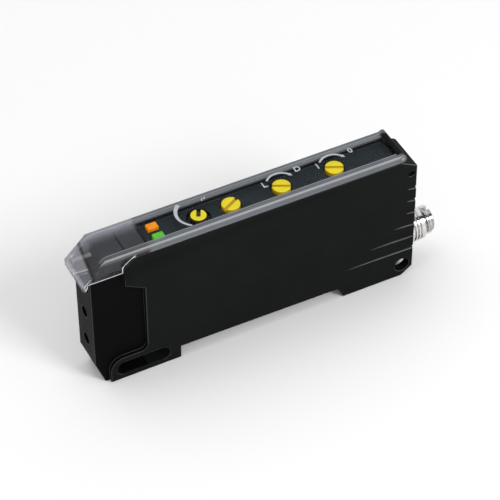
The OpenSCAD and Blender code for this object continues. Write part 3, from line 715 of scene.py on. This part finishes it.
def addPrint(look):
    work = bmesh.new()
    arcBand(work, look["scale"], look["arcSteps"])
    for tick in look["scaleTicks"]:
        flatBar(work, *tick)
    for turn in look["turns"]:
        arcBand(work, turn, look["arcSteps"])
        arrowTip(work, turn, look["arrow"])
    for mark in look["marks"]:
        letterMesh(work, look, *mark)
    bmesh.ops.remove_doubles(work, verts=work.verts, dist=look["merge"])
    bmesh.ops.recalc_face_normals(work, faces=work.faces)
    for face in work.faces:
        if face.normal.z < 0:
            face.normal_flip()
    bmesh.ops.solidify(work, geom=work.faces, thickness=look["thick"])
    bmesh.ops.translate(work, verts=work.verts, vec=(fibreFace, 0, look["rise"]))
    bmesh.ops.scale(work, verts=work.verts, vec=(mm, mm, mm))
    addPiece("cover_print", work, "print_white", "cover")


addPrint(printLook)
print("print laid on the cover")

# the plug: ringed collar, relief and a real thread, in millimetres from the fibre face; sharp is in degrees
plugLook = {
    "axisHeight": 11.6, "steps": 96, "merge": 1e-4, "sharp": 20, "chamfer": 0.25,
    "shank": (82.6, 3.5), "bore": (97.4, 2.99),                             # place and radius
    "collar": (95.2, 99.7, 4.75), "thread": (100.2, 102.9, 4.0),            # start, end and radius
    "relief": 3.4, "socket": 3.05,                                          # radius
    "ringPitch": 0.95, "ringDeep": 0.32, "ringShare": 0.28, "ringFrom": 96.0, "ringTo": 99.2,
    "threadPitch": 0.9, "threadDeep": 0.5, "threadSunk": 0.05, "threadLead": 0.1,
    "rootShare": 0.44, "crestShare": 0.06, "endShare": 0.45,                # of the thread's pitch
}


def plugProfile(look):
    x0, x1, r = look["collar"]
    bite = look["chamfer"]
    shankX, shankR = look["shank"]
    boreX, boreR = look["bore"]
    socketR = look["socket"]
    threadX0, threadX1, threadR = look["thread"]
    points = [(shankX, boreR), (shankX, shankR), (x0, shankR), (x0, r - bite), (x0 + bite, r)]
    half = look["ringPitch"] * look["ringShare"]
    rings = int((look["ringTo"] - look["ringFrom"]) / look["ringPitch"])
    for ring in range(rings):
        at = look["ringFrom"] + ring * look["ringPitch"]
        points += [(at, r), (at + half, r - look["ringDeep"]), (at + 2 * half, r)]
    points += [(x1 - bite, r), (x1, r - bite), (x1, look["relief"]), (threadX0, look["relief"])]
    core = threadR - look["threadDeep"]
    points += [(threadX0, core), (threadX1 - bite, core), (threadX1, core - bite)]
    points += [(threadX1, socketR), (boreX, socketR), (boreX, boreR)]
    return points


def turned(work, points, steps):
    ring = [work.verts.new((x, 0, r)) for x, r in points]
    edges = [work.edges.new(pair) for pair in zip(ring, ring[1:] + ring[:1])]
    bmesh.ops.spin(work, geom=ring + edges, cent=(0, 0, 0), axis=(1, 0, 0), angle=math.tau, steps=steps,
                   use_merge=True)


def addThread(work, look):
    # one ridge wound round the core
    x0, x1, r = look["thread"]
    pitch = look["threadPitch"]
    start = x0 + pitch * look["endShare"]
    turns = (x1 - look["threadLead"] - start) / pitch - look["endShare"]
    root, crest = look["rootShare"] * pitch, look["crestShare"] * pitch
    rootR = r - look["threadDeep"] - look["threadSunk"]
    corners = [(-root, rootR), (-crest, r), (crest, r), (root, rootR)]
    face = work.faces.new([work.verts.new((start + x, 0, z)) for x, z in corners])
    steps = int(look["steps"] * turns)
    bmesh.ops.spin(work, geom=[face], cent=(0, 0, 0), axis=(1, 0, 0), dvec=(pitch * turns / steps, 0, 0),
                   angle=math.tau * turns, steps=steps, use_merge=False)


def addPlug(look):
    work = bmesh.new()
    turned(work, plugProfile(look), look["steps"])
    addThread(work, look)
    bmesh.ops.remove_doubles(work, verts=work.verts, dist=look["merge"])
    bmesh.ops.recalc_face_normals(work, faces=work.faces)
    bmesh.ops.translate(work, verts=work.verts, vec=(fibreFace, 0, look["axisHeight"]))
    bmesh.ops.scale(work, verts=work.verts, vec=(mm, mm, mm))
    for face in work.faces:
        face.smooth = True
    for edge in work.edges:
        if len(edge.link_faces) == 2 and edge.calc_face_angle() > math.radians(look["sharp"]):
            edge.smooth = False
    plug = addPiece("connector_shell_turned", work, "nickel", "case")
    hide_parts("connector_shell")


addPlug(plugLook)
print("plug turned")

# floor, lamps and white surroundings, with a dim strip overhead that shows in bright metal; in metres
studio = {
    "floorSize": 3.0, "floorDrop": 0.00005, "floor": (250, 250, 250), "floorRough": (0.85, 0.95),
    "floorScale": 3, "floorGloss": 0.1,
    "keyPlace": (0.27, -0.62, 0.58), "keySize": 0.3, "keyPower": 3.4,
    "topPlace": (-0.25, 0.25, 0.95), "topSize": 0.8, "topPower": 2.4,
    "ambient": 0.62,
    "stripAim": (0.32, -0.36, 0.87), "stripWide": 0.985, "stripNarrow": 0.965, "stripLight": 0.04,
}


def addLamp(name, place, size, power):
    data = bpy.data.lights.new(name, "AREA")
    data.size = size
    data.energy = power
    lamp = bpy.data.objects.new(name, data)
    lamp.location = place
    lamp.rotation_euler = (-Vector(place)).to_track_quat("-Z", "Y").to_euler()
    scene.collection.objects.link(lamp)


def addFloor(look):
    work = bmesh.new()
    bmesh.ops.create_grid(work, x_segments=1, y_segments=1, size=look["floorSize"] / 2)
    bmesh.ops.translate(work, verts=work.verts, vec=(0, 0, -look["floorDrop"]))
    mesh = bpy.data.meshes.new("floor")
    work.to_mesh(mesh)
    work.free()
    f = newFinish("floor_pale")
    drift = noise(f, objectPlace(f), look["floorScale"], detail=2)
    shade(f, {"Base Color": paint(*look["floor"]), "Specular IOR Level": look["floorGloss"],
              "Roughness": spread(f, drift, *noiseBand, *look["floorRough"])})
    mesh.materials.append(finishes["floor_pale"])
    floor = bpy.data.objects.new("floor", mesh)
    scene.collection.objects.link(floor)


def addWorld(look):
    world = bpy.data.worlds.new("studio")
    scene.world = world
    w = Finish(world)
    seen = 0
    for ray in ("Is Camera Ray", "Is Glossy Ray", "Is Transmission Ray"):
        seen = w.node("ShaderNodeLightPath", out=ray) + seen
    heading = w.node("ShaderNodeTexCoord", out="Generated")
    aim = Vector(look["stripAim"]).normalized()
    facing = w.node("ShaderNodeVectorMath", {"operation": "DOT_PRODUCT"}, {0: heading, 1: aim}, out="Value")
    bright = spread(w, facing, look["stripNarrow"], look["stripWide"], 1.0, look["stripLight"])
    plain = w.node("ShaderNodeBackground", {}, {"Color": (1, 1, 1, 1), "Strength": look["ambient"]})
    white = w.node("ShaderNodeBackground", {}, {"Color": (1, 1, 1, 1), "Strength": bright})
    mixed = w.node("ShaderNodeMixShader", {}, {0: seen, 1: plain, 2: white})
    w.node("ShaderNodeOutputWorld", {}, {"Surface": mixed})


addFloor(studio)
addLamp("keyLamp", studio["keyPlace"], studio["keySize"], studio["keyPower"])
addLamp("topLamp", studio["topPlace"], studio["topSize"], studio["topPower"])
addWorld(studio)
print("studio set")
